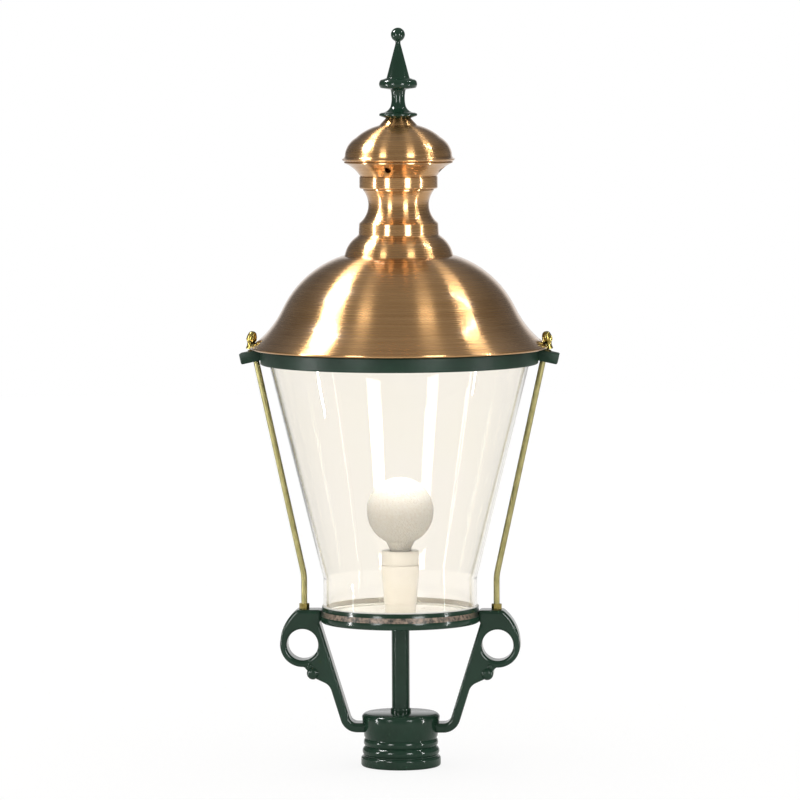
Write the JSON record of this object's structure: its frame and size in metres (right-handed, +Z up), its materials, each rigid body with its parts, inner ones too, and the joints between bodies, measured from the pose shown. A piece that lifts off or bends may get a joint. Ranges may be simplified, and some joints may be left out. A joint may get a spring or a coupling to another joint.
{
  "type": "post top lantern",
  "caption": "Outdoor lantern for a round lamp post: cast socket and arms, conical clear glass, spun copper hood with chimney, cast finial, and tie rods with thumb nuts.",
  "frame": {"origin": "centre of the post socket's lower face, on the post's axis", "axes": "+Z up the post's axis, X through both arms and tie rods, front faces -Y"},
  "size_m": [0.3782, 0.3518, 0.8729],
  "materials": {
    "cast_green_paint": "gloss dark green paint on cast metal",
    "copper_sheet": "brushed spun copper, lacquered",
    "rod_brass": "drawn brass, lightly aged",
    "clear_glass": "clear glass, faintly warm",
    "bulb_glass": "crackled clear bulb glass",
    "bulb_cap_metal": "plated screw cap",
    "solder": "solder",
    "white_moulding": "white moulded lampholder",
    "grey_moulding": "grey moulded base",
    "white_ceramic": "unglazed steatite",
    "contact_brass": "plain brass",
    "zinc_steel": "zinc plated steel",
    "tray_paint": "pale grey paint",
    "seal_rubber": "black rubber"
  },
  "bodies": {
    "base": {"cast_frame": "cast_green_paint", "post_clamp_screws": "zinc_steel", "gallery_tray": "tray_paint", "tray_screws": "zinc_steel", "stem_tube": "cast_green_paint", "stem_foot_collar": "cast_green_paint", "conduit": "zinc_steel", "conduit_nut": "zinc_steel", "cable_bush": "seal_rubber", "lampholder_base": "grey_moulding", "lampholder_body": "white_moulding", "lampholder_ring": "white_moulding", "lampholder_insert": "white_ceramic", "lampholder_screw_shell": "contact_brass", "lampholder_contact": "contact_brass", "glass_seat_gasket": "seal_rubber", "left_tie_rod": "rod_brass", "right_tie_rod": "rod_brass", "left_rod_nut": "rod_brass", "right_rod_nut": "rod_brass"},
    "bulb_foot": {"bulb_tip_contact": "solder"},
    "bulb": {"bulb_cap": "bulb_cap_metal", "bulb_globe": "bulb_glass", "bulb_mount": "bulb_glass"},
    "glass": {"glass_shade": "clear_glass"},
    "hood": {"crown_ring": "cast_green_paint", "glass_top_gasket": "seal_rubber", "bridge_bar": "zinc_steel", "bridge_screws": "zinc_steel", "hood_dome": "copper_sheet", "chimney_base": "copper_sheet", "chimney_neck": "copper_sheet", "chimney_cup": "copper_sheet", "chimney_cap": "copper_sheet", "finial": "cast_green_paint", "long_stud": "zinc_steel", "stud_nut": "zinc_steel"},
    "left_washer": {"left_knob_washer": "rod_brass"},
    "left_thumb_nut": {"left_knob": "rod_brass"},
    "right_washer": {"right_knob_washer": "rod_brass"},
    "right_thumb_nut": {"right_knob": "rod_brass"}
  },
  "joints": [
    {"name": "glass_lift", "type": "slide", "parent": "base", "child": "glass", "axis": [0, 0, 1], "range_m": [0, 0.36]},
    {"name": "hood_lift", "type": "slide", "parent": "glass", "child": "hood", "axis": [0, 0, 1], "range_m": [0, 0.24]},
    {"name": "bulb_travel", "type": "slide", "parent": "base", "child": "bulb_foot", "axis": [0, 0, 1], "range_m": [0, 0.02182]},
    {"name": "bulb_turn", "type": "hinge", "parent": "bulb_foot", "child": "bulb", "pos_m": [0, 0, 0.2425], "axis": [0, 0, 1], "range_deg": [0, 2160]},
    {"name": "left_knob_travel", "type": "slide", "parent": "hood", "child": "left_washer", "axis": [-0.2128, 0, 0.9771], "range_m": [0, 0.0121]},
    {"name": "left_knob_turn", "type": "hinge", "parent": "left_washer", "child": "left_thumb_nut", "pos_m": [-0.1724, 0, 0.49472], "axis": [-0.2128, 0, 0.9771], "range_deg": [0, 4320]},
    {"name": "right_knob_travel", "type": "slide", "parent": "hood", "child": "right_washer", "axis": [0.2128, 0, 0.9771], "range_m": [0, 0.0121]},
    {"name": "right_knob_turn", "type": "hinge", "parent": "right_washer", "child": "right_thumb_nut", "pos_m": [0.1724, 0, 0.49472], "axis": [0.2128, 0, 0.9771], "range_deg": [0, 4320]}
  ],
  "couplings": [
    {"joint": "bulb_travel", "follows": "bulb_turn", "m_per_rad": 0.00057614},
    {"joint": "left_knob_travel", "follows": "left_knob_turn", "m_per_rad": 0.00015915},
    {"joint": "right_knob_travel", "follows": "right_knob_turn", "m_per_rad": 0.00015915}
  ]
}
